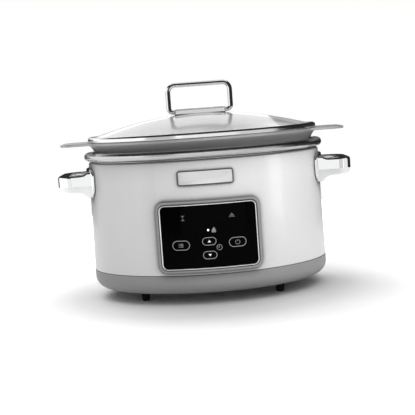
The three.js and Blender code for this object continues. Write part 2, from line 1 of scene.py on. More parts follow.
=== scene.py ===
"""Oval slow cooker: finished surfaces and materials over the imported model.

Metres, +Z up, the control panel faces -Y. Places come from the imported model's own boxes.
"""
import json
import math

import bmesh
import bpy
from mathutils import Matrix, Vector


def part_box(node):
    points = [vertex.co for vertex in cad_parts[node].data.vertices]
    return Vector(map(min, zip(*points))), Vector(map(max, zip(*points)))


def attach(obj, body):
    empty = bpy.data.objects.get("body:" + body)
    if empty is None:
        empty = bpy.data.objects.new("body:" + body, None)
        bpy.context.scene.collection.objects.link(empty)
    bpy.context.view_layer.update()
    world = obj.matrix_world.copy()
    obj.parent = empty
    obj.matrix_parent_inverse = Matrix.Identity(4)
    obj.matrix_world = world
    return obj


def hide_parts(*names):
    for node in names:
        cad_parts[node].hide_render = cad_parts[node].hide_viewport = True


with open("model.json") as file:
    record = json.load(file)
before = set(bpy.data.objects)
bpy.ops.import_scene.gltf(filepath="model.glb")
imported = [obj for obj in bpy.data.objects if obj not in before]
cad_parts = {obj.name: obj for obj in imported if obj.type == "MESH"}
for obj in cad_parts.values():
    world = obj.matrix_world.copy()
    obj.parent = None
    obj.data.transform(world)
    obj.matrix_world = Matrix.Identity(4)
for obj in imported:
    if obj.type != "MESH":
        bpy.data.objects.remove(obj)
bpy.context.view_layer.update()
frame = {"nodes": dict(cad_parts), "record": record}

MM = 0.001
BASE = "cooker_base"
OVAL_STEPS = 224
TURN_STEPS = 48
SHARP_ANGLE = math.radians(38)
MERGE_DISTANCE = 1e-7
TINY = 1e-6


# ---- places read from the frame ----
def low(node):
    return Vector(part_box(node)[0])


def high(node):
    return Vector(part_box(node)[1])


def middle(node):
    return (low(node) + high(node)) / 2


def size(node):
    return high(node) - low(node)


def on_plan(node):
    """A node's middle seen from above, at height 0."""
    return Vector((middle(node).x, middle(node).y, 0))


HALF_WIDTH = high("top_rim_ring").x
HALF_DEPTH = high("top_rim_ring").y
SHELL_LOW = low("outer_shell").z
SHELL_HIGH = high("outer_shell").z
SHELL_LOW_RADIUS = high("outer_shell").x
SHELL_TAPER = 2.5 * MM


# ---- the cooker's oval ----
def half_depth(radius):
    """Half depth of the oval whose half width is radius."""
    inward = 1 - radius / HALF_WIDTH
    return radius - (HALF_WIDTH - HALF_DEPTH) * (1 - inward * inward)


def shell_radius(z):
    return SHELL_LOW_RADIUS - SHELL_TAPER * (z - SHELL_LOW) / (SHELL_HIGH - SHELL_LOW)


def front_y(x, z, stand_off):
    """Y of the shell's front at (x, z), moved out of the shell by stand_off."""
    radius = shell_radius(z) + stand_off
    return -half_depth(radius) * math.sqrt(1 - (x / radius) ** 2)


def side_x(y, z, stand_off):
    """X of the shell's right-hand end at (y, z), moved out of the shell by stand_off."""
    radius = shell_radius(z) + stand_off
    return radius * math.sqrt(1 - (y / half_depth(radius)) ** 2)


# ---- outlines ----
def arc(centre, radius, start, end, steps):
    """Points on an arc, angles in degrees."""
    angles = [math.radians(start + (end - start) * i / steps) for i in range(steps + 1)]
    return [(centre[0] + radius * math.cos(a), centre[1] + radius * math.sin(a)) for a in angles]


def fillet(corners, closed=True, steps=5):
    """A polyline of (u, v, radius) corners, each rounded to its radius."""
    points = []
    count = len(corners)
    for i, (u, v, radius) in enumerate(corners):
        here = Vector((u, v))
        at_end = not closed and i in (0, count - 1)
        if radius <= 0 or at_end:
            points.append(tuple(here))
            continue
        back = (Vector(corners[i - 1][:2]) - here).normalized()
        ahead = (Vector(corners[(i + 1) % count][:2]) - here).normalized()
        half_angle = back.angle(ahead) / 2
        reach = radius / math.tan(half_angle)
        centre = here + (back + ahead).normalized() * (radius / math.sin(half_angle))
        start = here + back * reach - centre
        end = here + ahead * reach - centre
        turn = start.angle_signed(end)
        for step in range(steps + 1):
            spun = Matrix.Rotation(-turn * step / steps, 2) @ start
            points.append(tuple(centre + spun))
    return points


def rounded_rectangle(width, height, corner, centre=(0, 0), steps=8):
    x, y = width / 2 - corner, height / 2 - corner
    quarters = [(x, -y, -90), (x, y, 0), (-x, y, 90), (-x, -y, 180)]
    points = []
    for quarter_x, quarter_y, start in quarters:
        points += arc((centre[0] + quarter_x, centre[1] + quarter_y), corner, start, start + 90, steps)
    return points


def stadium(width, height, centre=(0, 0), steps=10):
    return rounded_rectangle(width, height, height / 2 - TINY, centre, steps)


def circle(radius, centre=(0, 0), steps=32):
    return arc(centre, radius, 0, 360 * (1 - 1 / steps), steps - 1)


# ---- mesh builders ----
def finish_mesh(mesh):
    mesh.validate()
    work = bmesh.new()
    work.from_mesh(mesh)
    bmesh.ops.remove_doubles(work, verts=work.verts, dist=MERGE_DISTANCE)
    bmesh.ops.recalc_face_normals(work, faces=work.faces)
    work.to_mesh(mesh)
    work.free()
    mesh.shade_smooth()
    mesh.set_sharp_from_angle(angle=SHARP_ANGLE)


def add_object(name, mesh, material):
    finish_mesh(mesh)
    piece = bpy.data.objects.new(name, mesh)
    bpy.context.collection.objects.link(piece)
    mesh.materials.clear()
    mesh.materials.append(material)
    return piece


def mesh_from(name, vertices, faces):
    mesh = bpy.data.meshes.new(name)
    mesh.from_pydata(vertices, [], faces)
    return mesh


def sweep_rings(name, rings, closed):
    """A mesh through rings of points. A ring of one point closes to a tip."""
    vertices, starts = [], []
    for ring in rings:
        starts.append(len(vertices))
        vertices += [tuple(p) for p in ring]
    faces = []
    pairs = list(zip(range(len(rings)), range(1, len(rings))))
    if closed:
        pairs.append((len(rings) - 1, 0))
    for a, b in pairs:
        count_a, count_b = len(rings[a]), len(rings[b])
        steps = max(count_a, count_b)
        for i in range(steps):
            j = (i + 1) % steps
            if count_a == 1:
                faces.append((starts[a], starts[b] + i, starts[b] + j))
            elif count_b == 1:
                faces.append((starts[a] + j, starts[a] + i, starts[b]))
            else:
                faces.append((starts[a] + j, starts[a] + i, starts[b] + i, starts[b] + j))
    return mesh_from(name, vertices, faces)


def level_ring(half_x, half_y, height, steps):
    """Points round a level oval, or the one point at its middle if it has no size."""
    if half_x < TINY:
        return [Vector((0, 0, height))]
    angles = [2 * math.pi * i / steps for i in range(steps)]
    return [Vector((half_x * math.cos(a), half_y * math.sin(a), height)) for a in angles]


def oval_mesh(name, profile, closed=True):
    """An oval body through (radius, height) points."""
    rings = [level_ring(radius, half_depth(radius), height, OVAL_STEPS) for radius, height in profile]
    return sweep_rings(name, rings, closed)


def turned_mesh(name, profile, axis, origin, closed=True, steps=TURN_STEPS):
    """A round body through (radius, distance along axis) points."""
    spin = Vector((0, 0, 1)).rotation_difference(Vector(axis)).to_matrix()
    rings = [level_ring(radius, radius, along, steps) for radius, along in profile]
    return sweep_rings(name, [[spin @ p + origin for p in ring] for ring in rings], closed)


def plate_mesh(name, outline, holes, thickness, bevel, bevel_steps=3):
    """A flat plate in X and Y, thickness tall from Z = 0, with rounded rims."""
    curve = bpy.data.curves.new(name, "CURVE")
    curve.dimensions = "2D"
    curve.fill_mode = "BOTH"
    curve.extrude = thickness / 2 - bevel
    curve.bevel_depth = bevel
    curve.bevel_resolution = bevel_steps
    curve.offset = -bevel
    for points in [outline, *holes]:
        spline = curve.splines.new("POLY")
        spline.points.add(len(points) - 1)
        for knot, (x, y) in zip(spline.points, points):
            knot.co = (x, y, 0, 1)
        spline.use_cyclic_u = True
    holder = bpy.data.objects.new(name, curve)
    bpy.context.collection.objects.link(holder)
    graph = bpy.context.evaluated_depsgraph_get()
    mesh = bpy.data.meshes.new_from_object(holder.evaluated_get(graph))
    bpy.data.objects.remove(holder)
    mesh.transform(Matrix.Translation((0, 0, thickness / 2)))
    return mesh


def slice_mesh(mesh, spacing):
    """Cuts a mesh across X every spacing, so that it can bend."""
    work = bmesh.new()
    work.from_mesh(mesh)
    bmesh.ops.remove_doubles(work, verts=work.verts, dist=MERGE_DISTANCE)
    start = min(v.co.x for v in work.verts)
    length = max(v.co.x for v in work.verts) - start
    count = int(length / spacing)
    for i in range(1, count + 1):
        cut = Vector((start + length * i / (count + 1), 0, 0))
        everything = work.verts[:] + work.edges[:] + work.faces[:]
        bmesh.ops.bisect_plane(
            work, geom=everything, plane_co=cut, plane_no=(1, 0, 0), dist=MERGE_DISTANCE)
    work.to_mesh(mesh)
    work.free()


def front_mesh(name, outline, holes, inner, outer, bevel, spacing=3 * MM):
    """A plate in X and Z that follows the shell's front, between two stand-offs from it."""
    mesh = plate_mesh(name, outline, holes, outer - inner, bevel)
    slice_mesh(mesh, spacing)
    for vertex in mesh.vertices:
        x, z, depth = vertex.co
        vertex.co = (x, front_y(x, z, inner + depth), z)
    return mesh


def join_meshes(name, meshes):
    work = bmesh.new()
    for mesh in meshes:
        work.from_mesh(mesh)
    joined = bpy.data.meshes.new(name)
    work.to_mesh(joined)
    work.free()
    return joined


def tube_mesh(name, points, radius, sides=24):
    """A round rod along a path in X and Z, with capped ends."""
    across = Vector((0, 1, 0))
    angles = [2 * math.pi * k / sides for k in range(sides)]
    rings = []
    for i, point in enumerate(points):
        before = points[max(i - 1, 0)]
        after = points[min(i + 1, len(points) - 1)]
        up = across.cross((Vector(after) - Vector(before)).normalized()).normalized()
        rings.append([Vector(point) + radius * (across * math.cos(a) + up * math.sin(a)) for a in angles])
    ends = [[Vector(points[0])], *rings, [Vector(points[-1])]]
    return sweep_rings(name, ends, False)


# ---- materials ----
WHITE = (1, 1, 1, 1)
# Painted shade: the darkest share of a colour that is left where other surfaces stand close.
DARKEST_PAINTED_SHADE = 0.3
GLOW_STARTS = 0.2
GLOW_FULL = 0.6


class Surface:
    """A Principled material whose colour, roughness and relief vary over the surface."""

    def __init__(self, name, **uniform):
        self.material = bpy.data.materials.new(name)
        self.material.use_nodes = True
        self.nodes = self.material.node_tree.nodes
        self.links = self.material.node_tree.links
        self.shader = self.nodes["Principled BSDF"]
        for socket, value in uniform.items():
            self.shader.inputs[socket.replace("_", " ")].default_value = value
        self.place = self.nodes.new("ShaderNodeTexCoord").outputs["Object"]

    def noise(self, scale, stretch=(1, 1, 1), detail=3, distortion=0.0):
        mapping = self.nodes.new("ShaderNodeMapping")
        mapping.inputs["Scale"].default_value = stretch
        noise = self.nodes.new("ShaderNodeTexNoise")
        noise.inputs["Scale"].default_value = scale
        noise.inputs["Detail"].default_value = detail
        noise.inputs["Distortion"].default_value = distortion
        self.links.new(self.place, mapping.inputs["Vector"])
        self.links.new(mapping.outputs["Vector"], noise.inputs["Vector"])
        return noise.outputs["Fac"]

    def span(self, value, low_value, high_value, start=0.3, end=0.7):
        """value, from start to end, turned into low_value to high_value."""
        node = self.nodes.new("ShaderNodeMapRange")
        node.inputs["From Min"].default_value = start
        node.inputs["From Max"].default_value = end
        node.inputs["To Min"].default_value = low_value
        node.inputs["To Max"].default_value = high_value
        self.links.new(value, node.inputs["Value"])
        return node.outputs["Result"]

    def blend(self, factor, first, second, mode="MIX"):
        node = self.nodes.new("ShaderNodeMix")
        node.data_type = "RGBA"
        node.blend_type = mode
        for index, value in ((0, factor), (6, first), (7, second)):
            if isinstance(value, (float, tuple)):
                node.inputs[index].default_value = value
            else:
                self.links.new(value, node.inputs[index])
        return node.outputs[2]

    def colour(self, value):
        self.links.new(value, self.shader.inputs["Base Color"])

    def roughness(self, value):
        self.links.new(value, self.shader.inputs["Roughness"])

    def relief(self, value, strength, distance):
        bump = self.nodes.new("ShaderNodeBump")
        bump.inputs["Strength"].default_value = strength
        bump.inputs["Distance"].default_value = distance
        self.links.new(value, bump.inputs["Height"])
        self.links.new(bump.outputs["Normal"], self.shader.inputs["Normal"])

    def glow_outwards(self, strength):
        """White seen by the camera only: none near the origin and full strength far from it."""
        distance = self.nodes.new("ShaderNodeVectorMath")
        distance.operation = "LENGTH"
        self.links.new(self.place, distance.inputs[0])
        seen = self.nodes.new("ShaderNodeMath")
        seen.operation = "MULTIPLY"
        glow = self.span(distance.outputs["Value"], 0.0, strength, GLOW_STARTS, GLOW_FULL)
        self.links.new(glow, seen.inputs[0])
        rays = self.nodes.new("ShaderNodeLightPath")
        self.links.new(rays.outputs["Is Camera Ray"], seen.inputs[1])
        self.links.new(seen.outputs["Value"], self.shader.inputs["Emission Strength"])

    def with_painted_shade(self, colour, reach, depth):
        """The colour with painted shade: darker where another surface stands within reach of this one."""
        occlusion = self.nodes.new("ShaderNodeAmbientOcclusion")
        occlusion.samples = 8
        occlusion.inputs["Distance"].default_value = reach
        start = 1 - (1 - DARKEST_PAINTED_SHADE) / depth
        shade = self.span(occlusion.outputs["AO"], DARKEST_PAINTED_SHADE, 1.0, start, 1.0)
        return self.blend(1.0, colour, shade, "MULTIPLY")

    def edges(self):
        """1 along raised edges, 0 on flats."""
        pointiness = self.nodes.new("ShaderNodeNewGeometry").outputs["Pointiness"]
        return self.span(pointiness, 0.0, 1.0, 0.51, 0.6)


def grey(value, tint=0.0):
    return (value - tint, value, value + tint, 1.0)


def make_white_paint():
    s = Surface("white_paint", Coat_Weight=0.35, Coat_Roughness=0.12)
    tone = s.blend(s.noise(9, detail=2), grey(0.70), grey(0.74))
    # Painted shade: the paint colour is darker under the ring, round the panel frame and round the badge.
    s.colour(s.with_painted_shade(s.blend(s.edges(), tone, grey(0.8)), 0.03, 3.0))
    s.roughness(s.span(s.noise(60), 0.34, 0.42))
    s.relief(s.noise(900, detail=1), 0.04, 0.00008)
    return s.material


def make_grey_plastic():
    s = Surface("grey_plastic", Specular_IOR_Level=0.4)
    tone = s.blend(s.noise(14), grey(0.27), grey(0.31))
    # Painted shade: the plastic colour is darker under the panel frame and where other parts stand close.
    s.colour(s.with_painted_shade(s.blend(s.edges(), tone, grey(0.4)), 0.014, 6.0))
    s.roughness(s.span(s.noise(120), 0.42, 0.54))
    s.relief(s.noise(2600, detail=2), 0.12, 0.00006)
    return s.material


def make_brushed_steel(name, tone, streaks, shine):
    s = Surface(name, Metallic=1.0)
    lines = s.noise(240, stretch=streaks, detail=4)
    s.colour(s.blend(lines, grey(tone * 0.9), grey(tone)))
    s.roughness(s.span(s.noise(300, stretch=streaks), shine, shine + 0.14))
    s.relief(lines, 0.07, 0.00005)
    return s.material


def make_chrome():
    s = Surface("chrome", Metallic=1.0)
    s.colour(s.blend(s.noise(30), grey(0.84, 0.004), grey(0.9, 0.004)))
    s.roughness(s.span(s.noise(45, detail=5, distortion=0.6), 0.035, 0.085))
    s.relief(s.noise(160, detail=1), 0.02, 0.00006)
    return s.material


def make_coated_metal():
    s = Surface("coated_aluminium", Metallic=0.4, Coat_Weight=0.1, Coat_Roughness=0.2)
    tone = s.blend(s.noise(26), grey(0.38), grey(0.43))
    s.colour(s.blend(s.edges(), tone, grey(0.55)))
    s.roughness(s.span(s.noise(90), 0.34, 0.46))
    s.relief(s.noise(1500, detail=3), 0.12, 0.00006)
    return s.material


def make_bare_metal(name, tone, roughness, metallic=1.0):
    s = Surface(name, Metallic=metallic)
    s.colour(s.blend(s.noise(40, detail=5), grey(tone * 0.85), grey(tone)))
    s.roughness(s.span(s.noise(70, detail=4), roughness, roughness + 0.18))
    s.relief(s.noise(700, detail=3), 0.1, 0.00008)
    return s.material


def make_glass():
    s = Surface(
        "lid_glass_clear", Transmission_Weight=0.62, IOR=1.48, Coat_Weight=1.0, Coat_Roughness=0.09)
    s.colour(s.blend(s.noise(8), grey(0.86), grey(0.9)))
    s.roughness(s.span(s.noise(55, detail=4, distortion=0.8), 0.16, 0.22))
    s.relief(s.noise(28, detail=1), 0.02, 0.0002)
    return s.material


def make_panel_black():
    s = Surface("panel_black", Specular_IOR_Level=0.02)
    s.colour(s.blend(s.noise(70), grey(0.0008), grey(0.0016)))
    s.roughness(s.span(s.noise(38, detail=5, distortion=0.8), 0.05, 0.14))
    s.relief(s.noise(500, detail=1), 0.01, 0.00004)
    return s.material


def make_plastic(name, colour, roughness, fineness=1800, specular=0.5):
    s = Surface(name, Specular_IOR_Level=specular)
    bright = tuple(min(1.0, channel * 1.25) for channel in colour)
    s.colour(s.blend(s.noise(50), (*colour, 1.0), (*bright, 1.0)))
    s.roughness(s.span(s.noise(160), roughness, roughness + 0.12))
    s.relief(s.noise(fineness, detail=2), 0.15, 0.00008)
    return s.material


def make_print(name, value, glow):
    s = Surface(name, Emission_Color=WHITE, Emission_Strength=glow)
    s.colour(s.blend(s.noise(900), grey(value * 0.9), grey(value)))
    s.roughness(s.span(s.noise(300), 0.4, 0.5))
    return s.material


def make_circuit_board():
    s = Surface("circuit_board")
    tracks = s.noise(420, stretch=(1, 1, 3), detail=0)
    s.colour(s.blend(s.span(tracks, 0, 1, 0.49, 0.52), (0.01, 0.10, 0.035, 1), (0.03, 0.2, 0.07, 1)))
    s.roughness(s.span(s.noise(90), 0.3, 0.45))
    s.relief(tracks, 0.3, 0.0001)
    return s.material


WHITE_PAINT = make_white_paint()
GREY_PLASTIC = make_grey_plastic()
ROUND_STREAKS = (0.04, 0.04, 1.6)
RING_STEEL = make_brushed_steel("ring_steel", 0.62, ROUND_STREAKS, 0.2)
RIM_STEEL = make_brushed_steel("rim_steel", 0.86, ROUND_STREAKS, 0.14)
BADGE_STEEL = make_brushed_steel("badge_steel", 0.5, (0.05, 1, 1.6), 0.3)
CHROME = make_chrome()
COATED_METAL = make_coated_metal()
BARE_METAL = make_bare_metal("bare_aluminium", 0.62, 0.28)
BLOCK_METAL = make_bare_metal("block_metal", 0.86, 0.1, 0.6)
TRIM_METAL = make_bare_metal("trim_metal", 0.95, 0.22)
PLATED_STEEL = make_bare_metal("plated_steel", 0.5, 0.22)
GLASS = make_glass()
PANEL_BLACK = make_panel_black()
BLACK_PLASTIC = make_plastic("black_plastic", (0.018, 0.018, 0.019), 0.45)
RUBBER = make_plastic("rubber", (0.007, 0.007, 0.007), 0.72, 1100, 0.12)
BADGE_BORDER = make_plastic("badge_border", (0.05, 0.05, 0.05), 0.4)
WHITE_PLASTIC = make_plastic("white_plastic", (0.7, 0.7, 0.68), 0.4)
MICA = make_plastic("mica", (0.36, 0.28, 0.17), 0.6, 300)
RED_SLEEVE = make_plastic("red_sleeve", (0.26, 0.02, 0.015), 0.5)
BRASS = make_bare_metal("brass", 0.5, 0.25)
CIRCUIT_BOARD = make_circuit_board()
KEY_PRINT = make_print("key_print", 0.30, 0.0)
# key_symbol glows a little with no lamp behind it: painted light that brightens the up and down pictures.
KEY_SYMBOL = make_print("key_symbol", 0.75, 0.25)
DIM_PRINT = make_print("dim_print", 0.10, 0.0)
SYMBOL_PRINT = make_print("symbol_print", 0.28, 0.0)
LAMP_GLOW = make_print("lamp_glow", 0.9, 2.0)


# ---- placing pieces ----
def place(name, mesh, material, body, replaces=()):
    """Adds a piece that rides on a body and stands for CAD nodes."""
    piece = add_object(name, mesh, material)
    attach(piece, body)
    if replaces:
        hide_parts(*replaces)
    return piece


def cut_through(piece, cutter_mesh):
    """Takes a closed mesh out of a piece and applies the cut."""
    cutter = bpy.data.objects.new("cutter", cutter_mesh)
    bpy.context.collection.objects.link(cutter)
    modifier = piece.modifiers.new("window", "BOOLEAN")
    modifier.operation = "DIFFERENCE"
    modifier.object = cutter
    graph = bpy.context.evaluated_depsgraph_get()
    result = bpy.data.meshes.new_from_object(piece.evaluated_get(graph))
    piece.modifiers.clear()
    result.materials.clear()
    result.materials.append(piece.data.materials[0])
    piece.data = result
    finish_mesh(result)
    bpy.data.objects.remove(cutter)


# ---- shell, skirt, ring and well ----
PANEL_CENTRE = middle("control_frame").z
PANEL_OPENING = (size("control_trim").x + 0.8 * MM, size("control_trim").z + 0.8 * MM)
PANEL_CORNER = 8 * MM


def build_shell():
    top = shell_radius(SHELL_HIGH)
    inner_edge = 161.8 * MM
    sheet = 1.2 * MM
    profile = fillet([
        (SHELL_LOW_RADIUS, SHELL_LOW, 0.4 * MM),
        (top, SHELL_HIGH, 2.6 * MM),
        (inner_edge, SHELL_HIGH, 0.3 * MM),
        (inner_edge, SHELL_HIGH - sheet, 0.3 * MM),
        (top - sheet, SHELL_HIGH - sheet, 1.4 * MM),
        (SHELL_LOW_RADIUS - sheet, SHELL_LOW, 0.4 * MM),
    ])
    shell = place("shell", oval_mesh("shell", profile), WHITE_PAINT, BASE,
                  ["outer_shell"])
    width, height = PANEL_OPENING
    room = 2.8 * MM
    outline = rounded_rectangle(width + room, height + room, PANEL_CORNER, (0, PANEL_CENTRE))
    window = plate_mesh("window", outline, [], 60 * MM, 0)
    window.transform(Matrix.Translation((0, -100 * MM, 0)) @ Matrix.Rotation(math.pi / 2, 4, "X"))
    cut_through(shell, window)


def build_skirt():
    bottom, radius = low("base_skirt").z, high("base_skirt").x
    top = SHELL_LOW - 0.4 * MM
    wall = 2.5 * MM
    floor = bottom + 2.4 * MM
    lip_outer, lip_inner, lip_top = radius - 1.9 * MM, radius - 3.9 * MM, top + 6 * MM
    opening = 108 * MM
    profile = fillet([
        (radius, top, 0.5 * MM),
        (lip_outer, top, 0),
        (lip_outer, lip_top, 0.4 * MM),
        (lip_inner, lip_top, 0.4 * MM),
        (lip_inner, floor + wall + 1 * MM, 15 * MM),
        (opening, floor + wall, 0.4 * MM),
        (opening, floor, 0.4 * MM),
        (radius - 22 * MM, floor, 1 * MM),
        (radius - 20.5 * MM, bottom, 0),
        (radius, bottom, 18 * MM),
    ], steps=10)
    skirt = place("skirt", oval_mesh("skirt", profile), GREY_PLASTIC, BASE,
                  ["base_skirt"])
    gland = middle("cord_gland")
    bore, start, end = 6.8 * MM, 100 * MM, 140 * MM
    hole = turned_mesh("gland_hole", [(0, start), (bore, start), (bore, end), (0, end)],
                       (0, 1, 0), Vector((gland.x, 0, gland.z)), closed=False)
    cut_through(skirt, hole)


def build_ring():
    bottom, top = low("top_rim_ring").z, high("top_rim_ring").z
    inner = 161.2 * MM
    nose = (top - bottom) / 2 - TINY
    profile = fillet([
        (inner, bottom, 0.5 * MM),
        (HALF_WIDTH, bottom, nose),
        (HALF_WIDTH, top, nose),
        (inner, top, 1.4 * MM),
    ], steps=12)
    place("rim_ring", oval_mesh("rim_ring", profile), RING_STEEL, BASE,
          ["top_rim_ring"])


def build_well():
    floor, flange, edge = low("heating_well").z, high("heating_well").z, high("heating_well").x
    wall = 1 * MM
    floor_radius, mouth = 142 * MM, 158.8 * MM
    profile = fillet([
        (0, floor, 0),
        (floor_radius + wall, floor, 17 * MM),
        (mouth + wall, flange - wall, 0),
        (edge, flange - wall, 0.3 * MM),
        (edge, flange, 0.3 * MM),
        (mouth, flange, 1 * MM),
        (floor_radius, floor + wall, 16 * MM),
        (0, floor + wall, 0),
    ], closed=False, steps=8)
    place("well", oval_mesh("well", profile, closed=False), BARE_METAL, BASE,
          ["heating_well"])


# ---- cooking pot ----
def build_pot():
    bottom, rim = low("cooking_pot").z, high("cooking_pot").z
    wall = 2.3 * MM
    base_radius = 139.5 * MM
    neck_radius, neck = 157 * MM, rim - 13 * MM
    rim_radius = 164.4 * MM
    profile = fillet([
        (0, bottom, 0),
        (base_radius, bottom, 16 * MM),
        (neck_radius, neck, 20 * MM),
        (rim_radius, rim - 3.4 * MM, 1 * MM),
        (rim_radius, rim, 1.2 * MM),
        (156.2 * MM, rim, 1.6 * MM),
        (neck_radius - wall, neck, 12 * MM),
        (base_radius - wall, bottom + wall, 14 * MM),
        (0, bottom + wall, 0),
    ], closed=False, steps=8)
    parts = [oval_mesh("bowl", profile, closed=False)]

    reach, half_width, corner, tab = high("cooking_pot").x, 42 * MM, 18 * MM, 3.6 * MM
    root_radius = 160.5 * MM
    root_depth = half_depth(root_radius)
    steps = 16
    for side in (-1, 1):
        root = []
        for i in range(steps + 1):
            y = half_width - 2 * half_width * i / steps
            root.append((root_radius * math.sqrt(1 - (y / root_depth) ** 2), y))
        outline = [
            *root,
            *arc((reach - corner, corner - half_width), corner, -90, 0, 10),
            *arc((reach - corner, half_width - corner), corner, 0, 90, 10),
        ]
        plate = plate_mesh("tab", [(side * x, y) for x, y in outline], [], tab, 1.3 * MM, 4)
        plate.transform(Matrix.Translation((0, 0, rim - tab - 0.05 * MM)))
        parts.append(plate)
    place("pot", join_meshes("pot", parts), COATED_METAL, "pot", ["cooking_pot"])


# ---- lid ----
GLASS_EDGE = high("lid_glass").x
GLASS_TOP = high("lid_glass").z
GLASS_THICKNESS = 3.8 * MM
GLASS_EDGE_TOP = low("lid_glass").z + GLASS_THICKNESS


def glass_z(radius):
    share = min(1.0, radius / GLASS_EDGE)
    return GLASS_EDGE_TOP + (GLASS_TOP - GLASS_EDGE_TOP) * (1 - share * share) ** 1.1


def dome_z(x, y):
    """Height of the glass's outer face above a point."""
    inner, outer = 0.0, GLASS_EDGE
    for _ in range(40):
        radius = (inner + outer) / 2
        inside = (x / radius) ** 2 + (y / half_depth(radius)) ** 2 < 1
        inner, outer = (inner, radius) if inside else (radius, outer)
    return glass_z(outer)


def build_glass():
    steps = 28
    shares = [math.sin(math.pi / 2 * i / steps) for i in range(steps + 1)]
    upper = [(GLASS_EDGE * share, glass_z(GLASS_EDGE * share)) for share in shares]
    lower = [(radius, height - GLASS_THICKNESS) for radius, height in upper]
    profile = [*lower, *reversed(upper)]
    place("dome", oval_mesh("dome", profile, closed=False), GLASS, "lid", ["lid_glass"])


def build_lid_rim():
    bottom, top, edge = low("lid_rim").z, high("lid_rim").z, high("lid_rim").x
    seat = high("cooking_pot").z + 0.4 * MM
    ledge = seat + 1 * MM
    lip_inner, lip_outer = 152.5 * MM, 154.2 * MM
    roll_inner, pocket = 158.5 * MM, 161.9 * MM
    profile = fillet([
        (lip_inner, bottom, 0.4 * MM),
        (lip_outer, bottom, 0.4 * MM),
        (lip_outer, seat, 0.3 * MM),
        (edge, seat, 0.8 * MM),
        (edge, top - 0.4 * MM, 3.4 * MM),
        (roll_inner, top, 0.35 * MM),
        (roll_inner, top - 0.8 * MM, 0),
        (pocket, top - 1.5 * MM, 0),
        (pocket, ledge, 0),
        (lip_inner, ledge, 0.3 * MM),
    ], steps=6)
    place("lid_band", oval_mesh("lid_band", profile), RIM_STEEL, "lid", ["lid_rim"])


def dome_block(name, half_length, half_width, lift, top, bevel):
    """A rounded block whose underside follows the dome, lift above it."""
    def outline(inset):
        return rounded_rectangle(
            2 * (half_length - inset), 2 * (half_width - inset), 4 * MM, steps=6)

    def over_dome(inset, height):
        return [Vector((x, y, dome_z(x, y) + height)) for x, y in outline(inset)]

    chamfer = 0.5 * MM
    rings = [[Vector((0, 0, GLASS_TOP + lift))], over_dome(chamfer, lift), over_dome(0, lift + chamfer)]
    bevel_steps = 6
    for step in range(bevel_steps + 1):
        angle = math.pi / 2 * step / bevel_steps
        height = top - bevel + bevel * math.sin(angle)
        rings.append([Vector((x, y, height)) for x, y in outline(bevel * (1 - math.cos(angle)))])
    rings.append([Vector((0, 0, top))])
    return sweep_rings(name, rings, False)


def build_lid_handle():
    block = size("lid_handle_block") / 2
    block_top = high("lid_handle_block").z
    mesh = dome_block("lid_block", block.x, block.y, 1 * MM, block_top, 4 * MM)
    place("lid_block", mesh, BLOCK_METAL, "lid", ["lid_handle_block"])
    inset, thickest = 1 * MM, 0.9 * MM
    gasket = dome_block("lid_gasket", block.x - inset, block.y - inset, 0.3 * MM,
                        GLASS_TOP + 0.8 * MM, 0.2 * MM)
    for vertex in gasket.vertices:
        vertex.co.z = min(vertex.co.z, dome_z(vertex.co.x, vertex.co.y) + thickest)
    place("lid_gasket", gasket, RUBBER, "lid", ["lid_handle_gasket"])

    rod = 3.5 * MM
    side = high("lid_handle_loop").x - rod
    foot = low("lid_handle_loop").z + rod
    top = high("lid_handle_loop").z - rod
    end = block.x + 0.4 * MM
    foot_bend, top_bend = 5.6 * MM, 10.5 * MM
    path = fillet([
        (-end, foot, 0),
        (-side, foot, foot_bend),
        (-side, top, top_bend),
        (side, top, top_bend),
        (side, foot, foot_bend),
        (end, foot, 0),
    ], closed=False, steps=14)
    points = [(x, 0, z) for x, z in path]
    place("lid_loop", tube_mesh("lid_loop", points, rod, 32), CHROME, "lid",
          ["lid_handle_loop"])


def build_lid_fixings():
    head_radius, head_height, shank_radius = 4 * MM, 2.4 * MM, 2 * MM
    bore_radius, washer_radius = 2.4 * MM, 6 * MM
    for side in ("left", "right"):
        node = f"lid_screw_{side}"
        z, top = low(node).z, high(node).z
        bolt = fillet([
            (0, z, 0), (head_radius, z, 1.4 * MM), (head_radius, z + head_height, 0.2 * MM),
            (shank_radius, z + head_height, 0), (shank_radius, top, 0.4 * MM), (0, top, 0),
        ], closed=False)
        mesh = turned_mesh("lid_bolt", bolt, (0, 0, 1), on_plan(node), closed=False)
        place(f"lid_bolt_{side}", mesh, PLATED_STEEL, "lid", [node])
        centre = on_plan(node)
        node = f"lid_washer_{side}"
        z, top = low(node).z, high(node).z
        washer = fillet([
            (bore_radius, z, 0.2 * MM), (washer_radius, z, 0.3 * MM), (washer_radius, top, 0.3 * MM),
            (bore_radius, top, 0.2 * MM),
        ])
        mesh = turned_mesh("lid_ring", washer, (0, 0, 1), centre)
        place(f"lid_ring_{side}", mesh, PLATED_STEEL, "lid", [node])


# ---- side handles ----
HALF_GRIP = 13 * MM
GRIP_START = 168 * MM
FLARE_START = 167 * MM
PLATE_CLEARANCE = 0.35 * MM


def grip_section(centre, across, half_bar, above, below):
    """Upright section of the grip: a flat outer face over a lower face that leans inwards."""
    crease = -3.6 * MM
    step = 0.5 * MM
    outline = fillet([
        (half_bar, above, 4.2 * MM),
        (half_bar, crease, 0.3 * MM),
        (half_bar - step, crease - step, 0),
        (half_bar - 3.8 * MM, -below, 2.4 * MM),
        (-half_bar, -below, 3.2 * MM),
        (-half_bar, above, 4.2 * MM),
    ], steps=6)
    return [centre + across * u + Vector((0, 0, v)) for u, v in outline]


def flare(x, length):
    """Growth of the grip towards its root: 1 at the root and 0 from length outwards."""
    return min(1.0, max(0.0, 1 - (x - FLARE_START) / length) ** 2)


